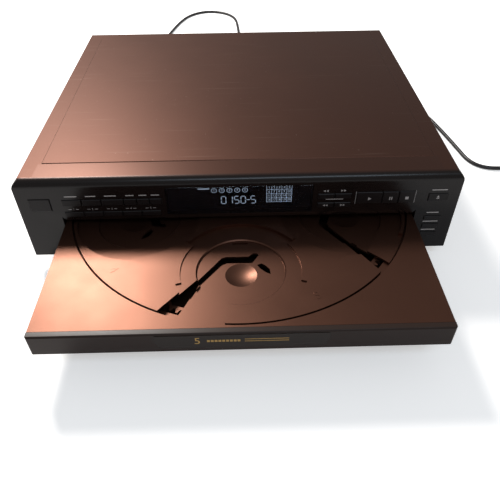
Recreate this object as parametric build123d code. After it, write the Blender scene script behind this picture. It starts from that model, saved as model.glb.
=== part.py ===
"""Five-disc carousel CD changer with its disc tray slid out.

Millimetres. X runs across the front, Y from the front to the back and Z up from the shelf.
The pieces are drawn with y = 0 on the front panel's face and are moved at the end, so that
the origin is on the shelf, under the middle of the changer.
"""
import os
from math import acos, asin, cos, degrees, pi, radians, sin, sqrt, tan

from build123d import *

# ---- Cabinet ----
PANEL_WIDTH = 430.0
PANEL_HEIGHT = 95.0
PANEL_LIP = 8.0                 # depth of the panel's full-size rim in front of the cover
PANEL_DEPTH = 20.0
PANEL_WALL = 3.0
PANEL_TOP_CORNER = 9.0
PANEL_BOTTOM_CORNER = 3.0
PANEL_TOP_ROUND = 8.0
FOOT_HEIGHT = 15.0
FOOT_RADIUS = 22.0
CASE_WIDTH = 423.0
CASE_DEPTH = 367.0
SHEET = 1.0                     # steel sheet of cover, base and rear panel
COVER_STEP = 1.2                # rise of the cover's middle field
FIELD_HALF_WIDTH = 193.5
FIELD_BACK = 354.0
TONGUE_HALF_WIDTH = 196.0
TONGUE_BACK = 30.0
BASE_FLANGE = 22.0
FIT_GAP = 0.3                   # between panels that slide over each other

# ---- Tray opening, display and keys in the front panel ----
OPENING_HALF_WIDTH = 175.5
OPENING_BOTTOM = 32.5
OPENING_TOP = 61.5
LIP_BEVEL_HEIGHT = 6.0
LIP_BEVEL_DEPTH = 2.2
WINDOW_WIDTH = 142.0
WINDOW_BOTTOM = 68.0
WINDOW_TOP = 100.0
WINDOW_THICKNESS = 2.0
WINDOW_LEDGE = 2.0
KEY_GAP = 0.7                   # between neighbouring keys of a row
KEY_CLEARANCE = 0.35            # between a key and its hole
KEY_PROUD = 0.9
KEY_TRAVEL = 0.9
SWITCH_GAP = KEY_TRAVEL + 0.1   # between a key's stem and its switch, at rest
KEY_FLANGE = 1.2
KEY_CHAMFER = 0.45
KEY_BODY = 6.6                  # from the panel's face back to the end of the key's stem
SWITCH_SIZE = 6.0
BOARD_Y = 10.6
BOARD_THICKNESS = 1.6

# ---- Tray ----
TRAY_HALF_WIDTH = 174.1
TRAY_TOP = 58.5
TRAY_BOTTOM = 34.0
TRAY_FLAT_FRONT = 134.5         # how far the open tray's flat top reaches in front of the panel
TRAY_FACE = 140.5               # and how far its front face does
TRAY_BACK = 216.0
TRAY_WALL = 3.0
TRAY_SIDE_WALL = 8.0
TRAY_FLOOR = 2.0
RUNNER_Z = 45.0
RUNNER_HALF_HEIGHT = 1.0
RUNNER_DEPTH = 3.0
RUNNER_CLEARANCE = 0.3
PLATE_TOP_WIDTH = 142.0
PLATE_BOTTOM_WIDTH = 136.0
PLATE_HEIGHT = 15.0
PLATE_THICKNESS = 0.8

# ---- Carousel ----
TABLE_RADIUS = 170.8
TABLE_CENTRE = 40.3             # behind the panel's face with the tray open
TABLE_GAP = 2.0                 # between the table's rim and the tray
TABLE_TOP = 58.3
TABLE_WALL = 2.0
WELL_CLEARANCE = 0.8            # between the deck's underside and the tray's step below it
DISC_COUNT = 5
DISC_RING = 107.0               # from the table's centre to each disc's centre
DISC_STEP = 360.0 / DISC_COUNT
LARGE_RADIUS = 61.0             # place for a 12 cm disc
LEDGE_RADIUS = 55.5
SMALL_RADIUS = 40.3             # place for an 8 cm disc
LEDGE_DEPTH = 1.8
LARGE_DEPTH = 3.2
SMALL_DEPTH = 5.2
SMALL_SLOPE = 1.0
DIMPLE_RADIUS = 14.5
DIMPLE_DEPTH = 2.6
DIMPLE_OFFSET = 4.6
LEDGE_FRONT_ANGLE = -16.0
HUB_RADIUS = 14.0
PIN_RADIUS = 4.0
RUNNING_FIT = 0.05

# ---- Gears ----
GEAR_MODULE = 2.0
PRESSURE_ANGLE = 20.0
BACKLASH = 0.35
TABLE_TEETH = 160
TABLE_PINION_TEETH = 14
LOADING_TEETH = 14
GEAR_RING_WALL = 2.6
TABLE_GEAR_Z = (46.0, 50.6)
PINION_DIRECTION = 45.0
LOADING_X = -138.0
LOADING_Y = 170.0
RACK_Z = (29.4, 34.5)
TRAY_TRAVEL = 140.0
PULLEY_RADIUS = 23.0
MOTOR_PULLEY_RADIUS = 4.0
BELT = 1.6
BELT_GAP = 0.15
MOTOR_X = -195.0
MOTOR_RADIUS = 12.0

# ---- Player above the rear of the closed tray ----
BRIDGE_Z = 64.0
BRIDGE_THICKNESS = 3.0
BRIDGE_FRONT = 245.0
BRIDGE_BACK = 352.0
SPINDLE_Y = TABLE_CENTRE + TRAY_TRAVEL + DISC_RING
PICKUP_TRAVEL = 35.0
ROD_RADIUS = 1.5
ROD_SPACING = 40.0
RAIL_X = 176.5
RAIL_WALL = 3.5
RAIL_TOP = 56.0

# ---- Mains cord ----
CORD_DIAMETER = 5.0
CORD_X = -165.0
CORD_Z = 45.0
BUSHING_LENGTH = 26.0
COIL_RADIUS = 28.0
COIL_PITCH = 5.6
COIL_LAYER = 5.6
PLUG_TURN = 16.0                # radius of the cord's last turn, between the coil and the plug
PLUG_LENGTH = 36.0
PLUG_WIDTH = 25.0
PIN_LENGTH = 19.0
JACK_LENGTH = 8.0
SOCKET_DEPTH = 8.0              # how far the sockets reach in, short of the closed tray's back

PANEL_TOP = FOOT_HEIGHT + PANEL_HEIGHT
COVER_TOP = PANEL_TOP - COVER_STEP
CASE_HALF = CASE_WIDTH / 2
REAR_FACE = CASE_DEPTH - 0.4
MIDDLE_Y = (REAR_FACE + JACK_LENGTH - TRAY_FACE - PLATE_THICKNESS) / 2
TABLE_PINION_RING = GEAR_MODULE * (TABLE_TEETH + TABLE_PINION_TEETH) / 2
LOADING_PITCH = GEAR_MODULE * LOADING_TEETH / 2
CORD_FLOOR = CORD_DIAMETER / 2


def span(x0, x1, y0, y1, z0, z1):
    """A box between two corners."""
    return Pos((x0 + x1) / 2, (y0 + y1) / 2, (z0 + z1) / 2) * Box(x1 - x0, y1 - y0, z1 - z0)


def post(x, y, radius, z0, z1):
    return Pos(x, y, (z0 + z1) / 2) * Cylinder(radius, z1 - z0)


def tube(x, y, outer, inner, z0, z1):
    return post(x, y, outer, z0, z1) - post(x, y, inner, z0 - 1, z1 + 1)


def rod_y(x, z, radius, y0, y1):
    return Pos(x, (y0 + y1) / 2, z) * Rot(90, 0, 0) * Cylinder(radius, y1 - y0)


def rod_x(y, z, radius, x0, x1):
    return Pos((x0 + x1) / 2, y, z) * Rot(0, 90, 0) * Cylinder(radius, x1 - x0)


def slab(points, z0, z1):
    """An upright prism on a closed outline of (x, y) points."""
    return extrude(Pos(0, 0, z0) * make_face(Polyline(*points, close=True)), z1 - z0)


def mirrored(solid):
    return mirror(solid, about=Plane.YZ)


def save(name, solid):
    export_step(Pos(0, -MIDDLE_Y, 0) * solid, f"parts/{name}.step")


# ---------------------------------------------------------------- keys

def key_rows():
    """Each row of keys: its middle height, its height and its keys with their left and right ends."""
    rows = []
    rows.append((82.5, 14.0, [("power_key", -203.5, -182.5)]))
    upper = [-171.5, -152.6, -133.6, -112.0, -99.4, -87.0, -74.8]
    names = ["continue_key", "shuffle_key", "program_key", "check_key", "clear_key", "repeat_key"]
    rows.append((84.5, 7.0, [(n, a, b) for n, a, b in zip(names, upper, upper[1:])]))
    pitch = 18.9
    first = -171.5
    rows.append((70.6, 5.6, [(f"disc_key_{i + 1}", first + i * pitch, first + (i + 1) * pitch)
                             for i in range(DISC_COUNT)]))
    rows.append((86.3, 6.0, [("skip_back_key", 76.0, 92.5), ("skip_forward_key", 92.5, 109.0)]))
    rows.append((75.6, 6.0, [("search_back_key", 76.0, 92.5), ("search_forward_key", 92.5, 109.0)]))
    rows.append((83.5, 13.6, [("play_key", 113.4, 139.0), ("pause_key", 139.0, 155.0),
                              ("stop_key", 155.0, 171.0)]))
    rows.append((82.5, 8.6, [("open_close_key", 184.0, 203.6)]))
    for name, middle in (("time_key", 56.5), ("fade_key", 45.5), ("edit_key", 34.5)):
        rows.append((middle, 4.6, [(name, 185.0, 202.0)]))
    return rows


def key(x0, x1, middle, height):
    """A moulded key: a chamfered cap, a flange behind the panel and a stem that meets its switch."""
    x0 += KEY_GAP / 2
    x1 -= KEY_GAP / 2
    half = height / 2
    cap = span(x0, x1, -KEY_PROUD, PANEL_WALL + 1.2, middle - half, middle + half)
    cap = chamfer(cap.faces().sort_by(Axis.Y)[0].edges(), KEY_CHAMFER)
    behind = PANEL_WALL + 0.2
    reach = half + KEY_FLANGE
    flange = span(x0, x1, behind, behind + 1.0, middle - reach, middle + reach)
    centre = (x0 + x1) / 2
    stem = span(centre - 1.5, centre + 1.5, behind + 0.5, KEY_BODY, middle - 1.5, middle + 1.5)
    return cap + flange + stem


def key_hole(row):
    middle, height, keys = row
    x0 = keys[0][1] + KEY_GAP / 2 - KEY_CLEARANCE
    x1 = keys[-1][2] - KEY_GAP / 2 + KEY_CLEARANCE
    half = height / 2 + KEY_CLEARANCE
    return span(x0, x1, -2, PANEL_WALL + 0.1, middle - half, middle + half)


# ---------------------------------------------------------------- cabinet

def front_panel():
    half = PANEL_WIDTH / 2
    side = make_face(Polyline((0, PANEL_TOP - PANEL_TOP_ROUND), (0, FOOT_HEIGHT + 1.5),
                              (1.5, FOOT_HEIGHT), (PANEL_LIP, FOOT_HEIGHT), (PANEL_LIP, PANEL_TOP))
                     + RadiusArc((0, PANEL_TOP - PANEL_TOP_ROUND), (PANEL_LIP, PANEL_TOP),
                                 PANEL_TOP_ROUND))
    rim = Pos(-half, 0, 0) * extrude(Plane.YZ * side, PANEL_WIDTH)
    front = make_face(Polyline((-half, FOOT_HEIGHT), (half, FOOT_HEIGHT), (half, PANEL_TOP),
                               (-half, PANEL_TOP), close=True))
    corners = front.vertices()
    front = fillet(corners.filter_by(lambda v: v.Y > PANEL_TOP - 1), PANEL_TOP_CORNER)
    front = fillet(front.vertices().filter_by(lambda v: v.Y < FOOT_HEIGHT + 1), PANEL_BOTTOM_CORNER)
    rim = rim & (Pos(0, PANEL_LIP + 1, 0) * extrude(Plane.XZ * front, PANEL_LIP + 2))
    inset = (PANEL_WIDTH - CASE_WIDTH) / 2 + SHEET + FIT_GAP
    low = FOOT_HEIGHT + SHEET + 1.0
    high = COVER_TOP - SHEET - FIT_GAP
    neck = span(-half + inset, half - inset, PANEL_LIP - 1, PANEL_DEPTH, low, high)
    hollow = span(-half + inset + PANEL_WALL, half - inset - PANEL_WALL, PANEL_WALL, PANEL_DEPTH + 1,
                  low + PANEL_WALL, high - PANEL_WALL)
    panel = rim + neck - hollow
    frame = OPENING_HALF_WIDTH + PANEL_WALL
    panel += span(-frame, frame, PANEL_WALL - 1, PANEL_DEPTH, low, OPENING_TOP + PANEL_WALL) \
        - span(-OPENING_HALF_WIDTH, OPENING_HALF_WIDTH, 0, PANEL_DEPTH + 1, low + PANEL_WALL,
               OPENING_BOTTOM - PANEL_WALL)
    panel -= span(-OPENING_HALF_WIDTH, OPENING_HALF_WIDTH, -1, PANEL_DEPTH + 1, OPENING_BOTTOM,
                  OPENING_TOP)
    bevel = make_face(Polyline((0, OPENING_TOP + LIP_BEVEL_HEIGHT), (LIP_BEVEL_DEPTH, OPENING_TOP),
                               (-1, OPENING_TOP - 1), (-1, OPENING_TOP + LIP_BEVEL_HEIGHT),
                               close=True))
    panel -= Pos(-OPENING_HALF_WIDTH, 0, 0) * extrude(Plane.YZ * bevel, 2 * OPENING_HALF_WIDTH)
    seat = WINDOW_WIDTH / 2 + FIT_GAP / 2
    panel -= span(-seat, seat, -1, WINDOW_THICKNESS, WINDOW_BOTTOM - FIT_GAP / 2,
                  WINDOW_TOP + FIT_GAP / 2)
    panel -= span(-seat + WINDOW_LEDGE, seat - WINDOW_LEDGE, -1, PANEL_WALL + 1,
                  WINDOW_BOTTOM + WINDOW_LEDGE, WINDOW_TOP - WINDOW_LEDGE)
    for row in key_rows():
        panel -= key_hole(row)
    tongue = span(-TONGUE_HALF_WIDTH, TONGUE_HALF_WIDTH, PANEL_LIP - 0.5, TONGUE_BACK,
                  COVER_TOP + 0.05, PANEL_TOP)
    return panel + tongue


def display_window():
    half = WINDOW_WIDTH / 2
    plate = span(-half, half, 0.1, WINDOW_THICKNESS, WINDOW_BOTTOM, WINDOW_TOP)
    return chamfer(plate.faces().sort_by(Axis.Y)[0].edges(), 0.3)


def display_tube():
    """The glass envelope of the fluorescent display, with its pumping stub."""
    envelope = span(-58, 58, 4.2, 8.6, 73.0, 98.0)
    envelope = chamfer(envelope.edges().filter_by(Axis.X), 0.8)
    return envelope + rod_x(6.4, 85.5, 1.6, 57.5, 62.0)


def display_board():
    """The board behind the panel, with a push switch behind each key."""
    low = OPENING_TOP + PANEL_WALL + 1.0
    back = BOARD_Y + BOARD_THICKNESS
    board = span(-204, 204, BOARD_Y, back, low, 103.5)
    board += span(OPENING_HALF_WIDTH + 5, 204, BOARD_Y, back, 28.0, low + 1)
    for middle, height, keys in key_rows():
        for name, x0, x1 in keys:
            centre = (x0 + x1) / 2
            half = min(SWITCH_SIZE, height) / 2
            board += span(centre - SWITCH_SIZE / 2, centre + SWITCH_SIZE / 2, KEY_BODY + SWITCH_GAP,
                          BOARD_Y + 0.2, middle - half, middle + half)
    for x in (-40.0, 0.0, 40.0):
        board += span(x - 6, x + 6, 8.6, BOARD_Y + 0.2, 71.0, 73.0)
    return board


def top_cover():
    """Folded sheet over the top and both sides, with its raised middle field."""
    low = FOOT_HEIGHT + SHEET + 1.2
    front = PANEL_LIP + FIT_GAP
    cover = span(-CASE_HALF, CASE_HALF, front, CASE_DEPTH, low, COVER_TOP)
    cover = chamfer(cover.edges().filter_by(Axis.Y).group_by(Axis.Z)[-1], 0.8)
    inner = CASE_HALF - SHEET
    cover -= span(-inner, inner, front - 1, CASE_DEPTH + 1, low - 1, COVER_TOP - SHEET)
    field = span(-FIELD_HALF_WIDTH, FIELD_HALF_WIDTH, TONGUE_BACK + 0.6, FIELD_BACK,
                 COVER_TOP - SHEET, PANEL_TOP)
    field = chamfer(field.faces().sort_by(Axis.Z)[-1].edges(), COVER_STEP - 0.2)
    recess = SHEET + 0.4
    cover += field
    cover -= span(-FIELD_HALF_WIDTH + recess, FIELD_HALF_WIDTH - recess, TONGUE_BACK + 0.6 + recess,
                  FIELD_BACK - recess, COVER_TOP - SHEET - 1, PANEL_TOP - SHEET)
    for x, y, z in side_screws():
        cover -= rod_x(y, z, 2.0, min(x, x - 4 * x / abs(x)), max(x, x - 4 * x / abs(x)) + 0.1)
    return cover


def side_screws():
    return [(side * CASE_HALF, y, FOOT_HEIGHT + 15.0) for side in (-1, 1) for y in (62.0, 268.0)]


def cover_screws():
    """Four screws through the cover's sides and two through the foot of the rear panel."""
    screws = []
    for x, y, z in side_screws():
        way = x / abs(x)
        head = Pos(x + way * 0.9, y, z) * Rot(0, 90, 0) * Cylinder(3.6, 1.8)
        head = chamfer(head.faces().sort_by(Axis.X)[-1 if way > 0 else 0].edges(), 0.7)
        ends = sorted((x + way * 0.5, x - way * 5.0))
        screws.append(head + rod_x(y, z, 1.6, ends[0], ends[1]))
    for x in (-150.0, 150.0):
        head = Pos(x, REAR_FACE + 0.9, FOOT_HEIGHT + 9) * Rot(90, 0, 0) * Cylinder(3.6, 1.8)
        head = chamfer(head.faces().sort_by(Axis.Y)[-1].edges(), 0.7)
        screws.append(head + rod_y(x, FOOT_HEIGHT + 9, 1.6, REAR_FACE - 5, REAR_FACE + 0.5))
    return Compound(screws)


def base_chassis():
    """Folded steel base with turned-up edges, vents and pads for the feet."""
    inner = CASE_HALF - SHEET - FIT_GAP
    front = PANEL_DEPTH + 0.6
    back = REAR_FACE - SHEET - 0.2
    bottom = FOOT_HEIGHT
    base = span(-inner, inner, front, back, bottom, bottom + BASE_FLANGE)
    base -= span(-inner + SHEET, inner - SHEET, front + SHEET, back - SHEET, bottom + SHEET,
                 bottom + BASE_FLANGE + 1)
    base -= span(-inner + SHEET, inner - SHEET, front - 1, front + 2, bottom + 14, bottom + 30)
    for x, y in foot_places():
        base -= post(x, y, 2.2, bottom - 1, bottom + 2)
    for side in (-1, 1):
        for i in range(9):
            y = 215.0 + 11.0 * i
            base -= span(side * 78 - 22, side * 78 + 22, y, y + 4.0, bottom - 1, bottom + 2)
    for x, y, z in side_screws():
        way = x / abs(x)
        ends = sorted((x - way * 0.5, x - way * 4.0))
        base -= rod_x(y, z, 2.0, ends[0], ends[1])
    for x in (-150.0, 150.0):
        base -= rod_y(x, bottom + 9, 2.0, back - 3, back + 1)
    return base


def foot_places():
    return [(x, y) for x in (-168.0, 168.0) for y in (52.0, 322.0)]


def feet():
    """Four moulded feet with a soft ring on the shelf and a screw up into the base."""
    shape = make_face(Polyline((0, 0), (FOOT_RADIUS - 5, 0), (FOOT_RADIUS - 4, 1.5),
                               (FOOT_RADIUS - 4, 3.0), (FOOT_RADIUS - 2.2, 3.0),
                               (FOOT_RADIUS, FOOT_HEIGHT - 2), (FOOT_RADIUS, FOOT_HEIGHT),
                               (2.0, FOOT_HEIGHT), (2.0, FOOT_HEIGHT + 3.0), (0, FOOT_HEIGHT + 3.0),
                               close=True))
    foot = revolve(Plane.XZ * shape, Axis.Z)
    return Compound([Pos(x, y, 0) * foot for x, y in foot_places()])


def rear_panel():
    half = CASE_HALF - SHEET - FIT_GAP
    low = FOOT_HEIGHT + SHEET + 0.2
    high = COVER_TOP - SHEET - FIT_GAP
    panel = span(-half, half, REAR_FACE - SHEET, REAR_FACE, low, high)
    panel += span(-half, half, REAR_FACE - 10, REAR_FACE, high - SHEET, high)
    for x in jack_places():
        panel -= rod_y(x, 62.0, 6.6, REAR_FACE - 3, REAR_FACE + 3)
    panel -= span(158, 170, REAR_FACE - 3, REAR_FACE + 3, 56, 68)
    panel -= rod_y(CORD_X, CORD_Z, 6.2, REAR_FACE - 3, REAR_FACE + 3)
    for x in (-150.0, 150.0):
        panel -= rod_y(x, FOOT_HEIGHT + 9, 2.0, REAR_FACE - 3, REAR_FACE + 3)
    return panel


def jack_places():
    return (112.0, 132.0)


def output_jacks():
    """Two phono sockets on one block."""
    block = span(103, 141, REAR_FACE - SOCKET_DEPTH, REAR_FACE - SHEET - 0.1, 53, 71)
    for x in jack_places():
        block += rod_y(x, 62.0, 6.3, REAR_FACE - 2, REAR_FACE + 1.6)
        block += rod_y(x, 62.0, 4.15, REAR_FACE, REAR_FACE + JACK_LENGTH)
    for x in jack_places():
        block -= rod_y(x, 62.0, 1.6, REAR_FACE - 4, REAR_FACE + JACK_LENGTH + 1)
    return block


def optical_output():
    socket = span(158.3, 169.7, REAR_FACE - SOCKET_DEPTH, REAR_FACE + 1.0, 56.3, 67.7)
    socket = chamfer(socket.faces().sort_by(Axis.Y)[-1].edges(), 0.5)
    return socket - span(161, 167, REAR_FACE - 2, REAR_FACE + 2, 59, 65)


def main_board():
    """The main circuit board under the tray, on four posts, with its tallest components."""
    low = FOOT_HEIGHT + SHEET
    board = span(-96, 166, 62, 335, low + 4.0, low + 5.6)
    for x, y in ((-90, 70), (160, 70), (-90, 325), (160, 325)):
        board += post(x, y, 3.0, low, low + 4.1)
    top = low + 5.5
    board += span(-20, 10, 150, 180, top, top + 2.4)
    board += span(60, 82, 150, 170, top, top + 2.4)
    for i in range(4):
        board += post(110 + 14 * (i % 2), 230 + 14 * (i // 2), 5.0, top, top + 10.0)
    board += span(-60, -20, 90, 96, top, top + 7.0)
    return board


def power_transformer():
    """A long, narrow transformer beside the tray: laminated core, wound bobbin and its bracket."""
    x0, x1 = -207.5, -183.0
    low = FOOT_HEIGHT + SHEET
    core = span(x0, x1, 292, 344, low + 1.5, low + 43)
    core -= span(x0 - 1, x1 + 1, 302, 311, low + 11, low + 33)
    core -= span(x0 - 1, x1 + 1, 325, 334, low + 11, low + 33)
    bobbin = span(x0 - 0.6, x1 + 0.6, 301, 335, low + 12, low + 32)
    bracket = span(x0, x1, 284, 352, low, low + 2)
    return core + bobbin + bracket


def loading_frame():
    """The moulded guide frame: two rails with tongues in the tray's grooves, tied under the tray."""
    low = FOOT_HEIGHT + SHEET + 0.2
    rail = span(RAIL_X, RAIL_X + RAIL_WALL, 24, 360, low, RAIL_TOP)
    reach = TRAY_HALF_WIDTH - RUNNER_DEPTH + RUNNER_CLEARANCE
    half = RUNNER_HALF_HEIGHT - RUNNER_CLEARANCE
    rail += span(reach, RAIL_X + 1, 26, 358, RUNNER_Z - half, RUNNER_Z + half)
    window = span(-RAIL_X - 9, -RAIL_X + 1, LOADING_Y - 28, LOADING_Y + 28, low + 2.8, 27.0)
    frame = mirrored(rail) - window
    frame += rail
    frame += span(-RAIL_X - 1, RAIL_X + 1, 24, 40, low, low + 9)
    frame += span(-RAIL_X - 1, RAIL_X + 1, 346, 360, low, low + 9)
    frame += span(-RAIL_X - 1, LOADING_X + 20, LOADING_Y - 26, LOADING_Y + 26, low, low + 2.5)
    frame += post(LOADING_X, LOADING_Y, 6.0, low, low + 4.5)
    frame += post(LOADING_X, LOADING_Y, PIN_RADIUS - 1, low, RACK_Z[1] - 1.2)
    shelf = span(MOTOR_X - 13.5, -RAIL_X - 1, LOADING_Y - 14, LOADING_Y + 14, 28.5, 31.0)
    shelf -= post(MOTOR_X, LOADING_Y, 3.2, 27, 33)
    return frame + shelf


# ---------------------------------------------------------------- gears and drive

def involute(angle):
    return tan(angle) - angle


def half_tooth(teeth, radius):
    """Half of a tooth's angle at a radius, from the involute of its gear."""
    pressure = radians(PRESSURE_ANGLE)
    base = GEAR_MODULE * teeth / 2 * cos(pressure)
    at_pitch = pi / (2 * teeth) - BACKLASH / (GEAR_MODULE * teeth)
    return at_pitch + involute(pressure) - involute(acos(min(1.0, base / max(radius, base))))


def gear_outline(teeth, turn, fine):
    """A closed spur outline. A fine one follows the curve of each flank in more steps."""
    pitch = GEAR_MODULE * teeth / 2
    root = pitch - 1.2 * GEAR_MODULE
    tip = pitch + 0.85 * GEAR_MODULE
    radii = [root, tip]
    if fine:
        radii = [root, pitch - 0.55 * GEAR_MODULE, pitch, pitch + 0.5 * GEAR_MODULE, tip]
    points = []
    for tooth in range(teeth):
        middle = radians(turn) + 2 * pi * tooth / teeth
        flank = [(r, half_tooth(teeth, r)) for r in radii]
        for r, half in flank:
            points.append((r * cos(middle - half), r * sin(middle - half)))
        for r, half in reversed(flank):
            points.append((r * cos(middle + half), r * sin(middle + half)))
    return points


def gear(teeth, turn, z0, z1, fine=True):
    return slab(gear_outline(teeth, turn, fine), z0, z1)


def rack():
    """The tray's rack: straight teeth that face the loading pinion."""
    pitch = pi * GEAR_MODULE
    line = LOADING_X - LOADING_PITCH
    back = line - 6.0
    add, ded = 0.85 * GEAR_MODULE, 1.2 * GEAR_MODULE
    lean = tan(radians(PRESSURE_ANGLE))
    half = pitch / 4 - BACKLASH / 2
    count = int(TRAY_TRAVEL / pitch) + 3
    first = LOADING_Y - (count - 2) * pitch
    points = [(back, first - pitch / 2)]
    for i in range(count):
        y = first + i * pitch
        points.append((line - ded, y - half - ded * lean))
        points.append((line + add, y - half + add * lean))
        points.append((line + add, y + half - add * lean))
        points.append((line - ded, y + half + ded * lean))
    points.append((back, first + (count - 0.5) * pitch))
    points.insert(1, (line - ded, first - pitch / 2))
    points.insert(-1, (line - ded, first + (count - 0.5) * pitch))
    return slab(points, *RACK_Z)


def loading_gear():
    """One moulding: the belt pulley below and the pinion that drives the tray's rack above."""
    low = FOOT_HEIGHT + SHEET + 5.0
    rack_teeth_turn = degrees(pi / LOADING_TEETH) + 180.0
    wheel = Pos(LOADING_X, LOADING_Y, 0) * gear(LOADING_TEETH, rack_teeth_turn, RACK_Z[0] - 0.4,
                                                RACK_Z[1] - 1.6)
    wheel += pulley(LOADING_X, PULLEY_RADIUS, low, RACK_Z[0] - 4.5)
    wheel += post(LOADING_X, LOADING_Y, 9.0, low, RACK_Z[0])
    return wheel - post(LOADING_X, LOADING_Y, PIN_RADIUS - 1 + RUNNING_FIT, low - 1, RACK_Z[1] + 1)


def pulley(x, radius, z0, z1):
    """A pulley with flanges and a groove for the square belt."""
    wheel = post(x, LOADING_Y, radius + BELT, z0, z1)
    middle = (z0 + z1) / 2
    half = BELT / 2 + 0.2
    return wheel - tube(x, LOADING_Y, radius + BELT + 1, radius, middle - half, middle + half)


def motor_pulley():
    low = FOOT_HEIGHT + SHEET + 5.0
    wheel = pulley(MOTOR_X, MOTOR_PULLEY_RADIUS, low, RACK_Z[0] - 4.5)
    wheel += post(MOTOR_X, LOADING_Y, 1.0, low, 31.0)
    return wheel


def loading_belt():
    """The square belt, tight round both pulleys."""
    low = FOOT_HEIGHT + SHEET + 5.0
    middle = (low + RACK_Z[0] - 4.5) / 2
    apart = LOADING_X - MOTOR_X

    def loop(extra):
        large, small = PULLEY_RADIUS + extra, MOTOR_PULLEY_RADIUS + extra
        lean = asin((large - small) / apart)
        out = Pos(LOADING_X, LOADING_Y) * Circle(large) + Pos(MOTOR_X, LOADING_Y) * Circle(small)
        corners = []
        for side in (1, -1):
            dx, dy = -sin(lean), side * cos(lean)
            corners.append((LOADING_X + large * dx, LOADING_Y + large * dy))
            corners.append((MOTOR_X + small * dx, LOADING_Y + small * dy))
        corners = [corners[0], corners[1], corners[3], corners[2]]
        return out + make_face(Polyline(*corners, close=True))

    ring = loop(BELT_GAP + BELT - 0.3) - loop(BELT_GAP)
    return extrude(Pos(0, 0, middle - BELT / 2) * ring, BELT)


def loading_motor():
    """The can of the motor stands on the frame's shelf, with its shaft boss through the shelf."""
    can = post(MOTOR_X, LOADING_Y, MOTOR_RADIUS, 31.1, 51.0)
    can = chamfer(can.faces().sort_by(Axis.Z)[-1].edges(), 1.0)
    can += post(MOTOR_X, LOADING_Y, 3.0, 29.0, 31.5)
    can += span(MOTOR_X - 3, MOTOR_X + 3, LOADING_Y + 6, LOADING_Y + 9, 51, 54)
    return can - post(MOTOR_X, LOADING_Y, 1.0 + RUNNING_FIT, 28, 31.6)


# ---------------------------------------------------------------- tray

def tray():
    """The sliding tray: a deck round the carousel's well, deep side walls with runner grooves,
    open corners underneath, the rack, and the post that carries the carousel."""
    half = TRAY_HALF_WIDTH
    front = -TRAY_FLAT_FRONT
    body = span(-half, half, front, TRAY_BACK, TRAY_BOTTOM, TRAY_TOP)
    well = TABLE_RADIUS + TABLE_GAP
    deep = GEAR_MODULE * (TABLE_TEETH / 2 + 1) + 3.0
    below = span(-half + TRAY_SIDE_WALL, half - TRAY_SIDE_WALL, front + TRAY_WALL,
                 TRAY_BACK - TRAY_WALL, TRAY_BOTTOM - 1, TRAY_TOP - TRAY_FLOOR)
    below -= post(0, TABLE_CENTRE, well + TRAY_WALL, TRAY_BOTTOM - 2, TRAY_TOP + 1)
    body -= below
    body -= post(0, TABLE_CENTRE, well, deck_underside() - WELL_CLEARANCE, TRAY_TOP + 1)
    body -= post(0, TABLE_CENTRE, deep, TRAY_BOTTOM + TRAY_FLOOR, TRAY_TOP)
    motor_x, motor_y = table_pinion_place()
    body += post(motor_x, motor_y, MOTOR_RADIUS + TRAY_WALL, TRAY_BOTTOM, TABLE_GEAR_Z[0] - 0.6) \
        - post(0, TABLE_CENTRE, deep, TRAY_BOTTOM, TRAY_TOP)
    body -= post(motor_x, motor_y, GEAR_MODULE * (TABLE_PINION_TEETH / 2 + 2), TABLE_GEAR_Z[0] - 0.6,
                 TRAY_TOP + 1)
    body -= post(motor_x, motor_y, MOTOR_RADIUS + 0.15, TRAY_BOTTOM - 1, TABLE_GEAR_Z[0])
    for side in (-1, 1):
        outer = side * (half + 1)
        inner = side * (half - RUNNER_DEPTH)
        body -= span(min(outer, inner), max(outer, inner), front + 10, TRAY_BACK + 1,
                     RUNNER_Z - RUNNER_HALF_HEIGHT, RUNNER_Z + RUNNER_HALF_HEIGHT)
    body += post(0, TABLE_CENTRE, 12.0, TRAY_BOTTOM, TABLE_GEAR_Z[0] + 2.0)
    body += post(0, TABLE_CENTRE, PIN_RADIUS, TRAY_BOTTOM, TABLE_TOP - 1.0)
    body += tube(0, TABLE_CENTRE, 64.0, 60.0, TRAY_BOTTOM, table_underside() - 0.5)
    return body + rack()


def table_underside():
    return TABLE_TOP - SMALL_DEPTH - TABLE_WALL


def deck_underside():
    return TABLE_TOP - LARGE_DEPTH - TABLE_WALL


def table_pinion_place():
    turn = radians(PINION_DIRECTION)
    return TABLE_PINION_RING * cos(turn), TABLE_CENTRE + TABLE_PINION_RING * sin(turn)


def tray_front():
    """The moulding across the tray's front: a sloping top band over an upright face."""
    half = TRAY_HALF_WIDTH + 0.4
    side = make_face(Polyline((-TRAY_FLAT_FRONT, TRAY_TOP), (-TRAY_FACE + 1.2, TRAY_TOP),
                              (-TRAY_FACE, TRAY_TOP - 1.2), (-TRAY_FACE, TRAY_BOTTOM + 2.5),
                              (-TRAY_FACE + 2.5, TRAY_BOTTOM), (-TRAY_FLAT_FRONT, TRAY_BOTTOM),
                              close=True))
    front = Pos(-half, 0, 0) * extrude(Plane.YZ * side, 2 * half)
    return chamfer(front.edges().filter_by(Axis.Z).group_by(Axis.Y)[0], 1.5)


def tray_front_plate():
    """The thin shaped plate in the middle of the tray's front."""
    top = TRAY_TOP - 1.8
    points = [(-PLATE_TOP_WIDTH / 2, top), (PLATE_TOP_WIDTH / 2, top),
              (PLATE_TOP_WIDTH / 2 + 1, top - 5), (PLATE_BOTTOM_WIDTH / 2, top - PLATE_HEIGHT),
              (-PLATE_BOTTOM_WIDTH / 2, top - PLATE_HEIGHT), (-PLATE_TOP_WIDTH / 2 - 1, top - 5)]
    outline = Plane.XZ * make_face(Polyline(*points, close=True))
    return Pos(0, -TRAY_FACE, 0) * extrude(outline, PLATE_THICKNESS)


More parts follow.
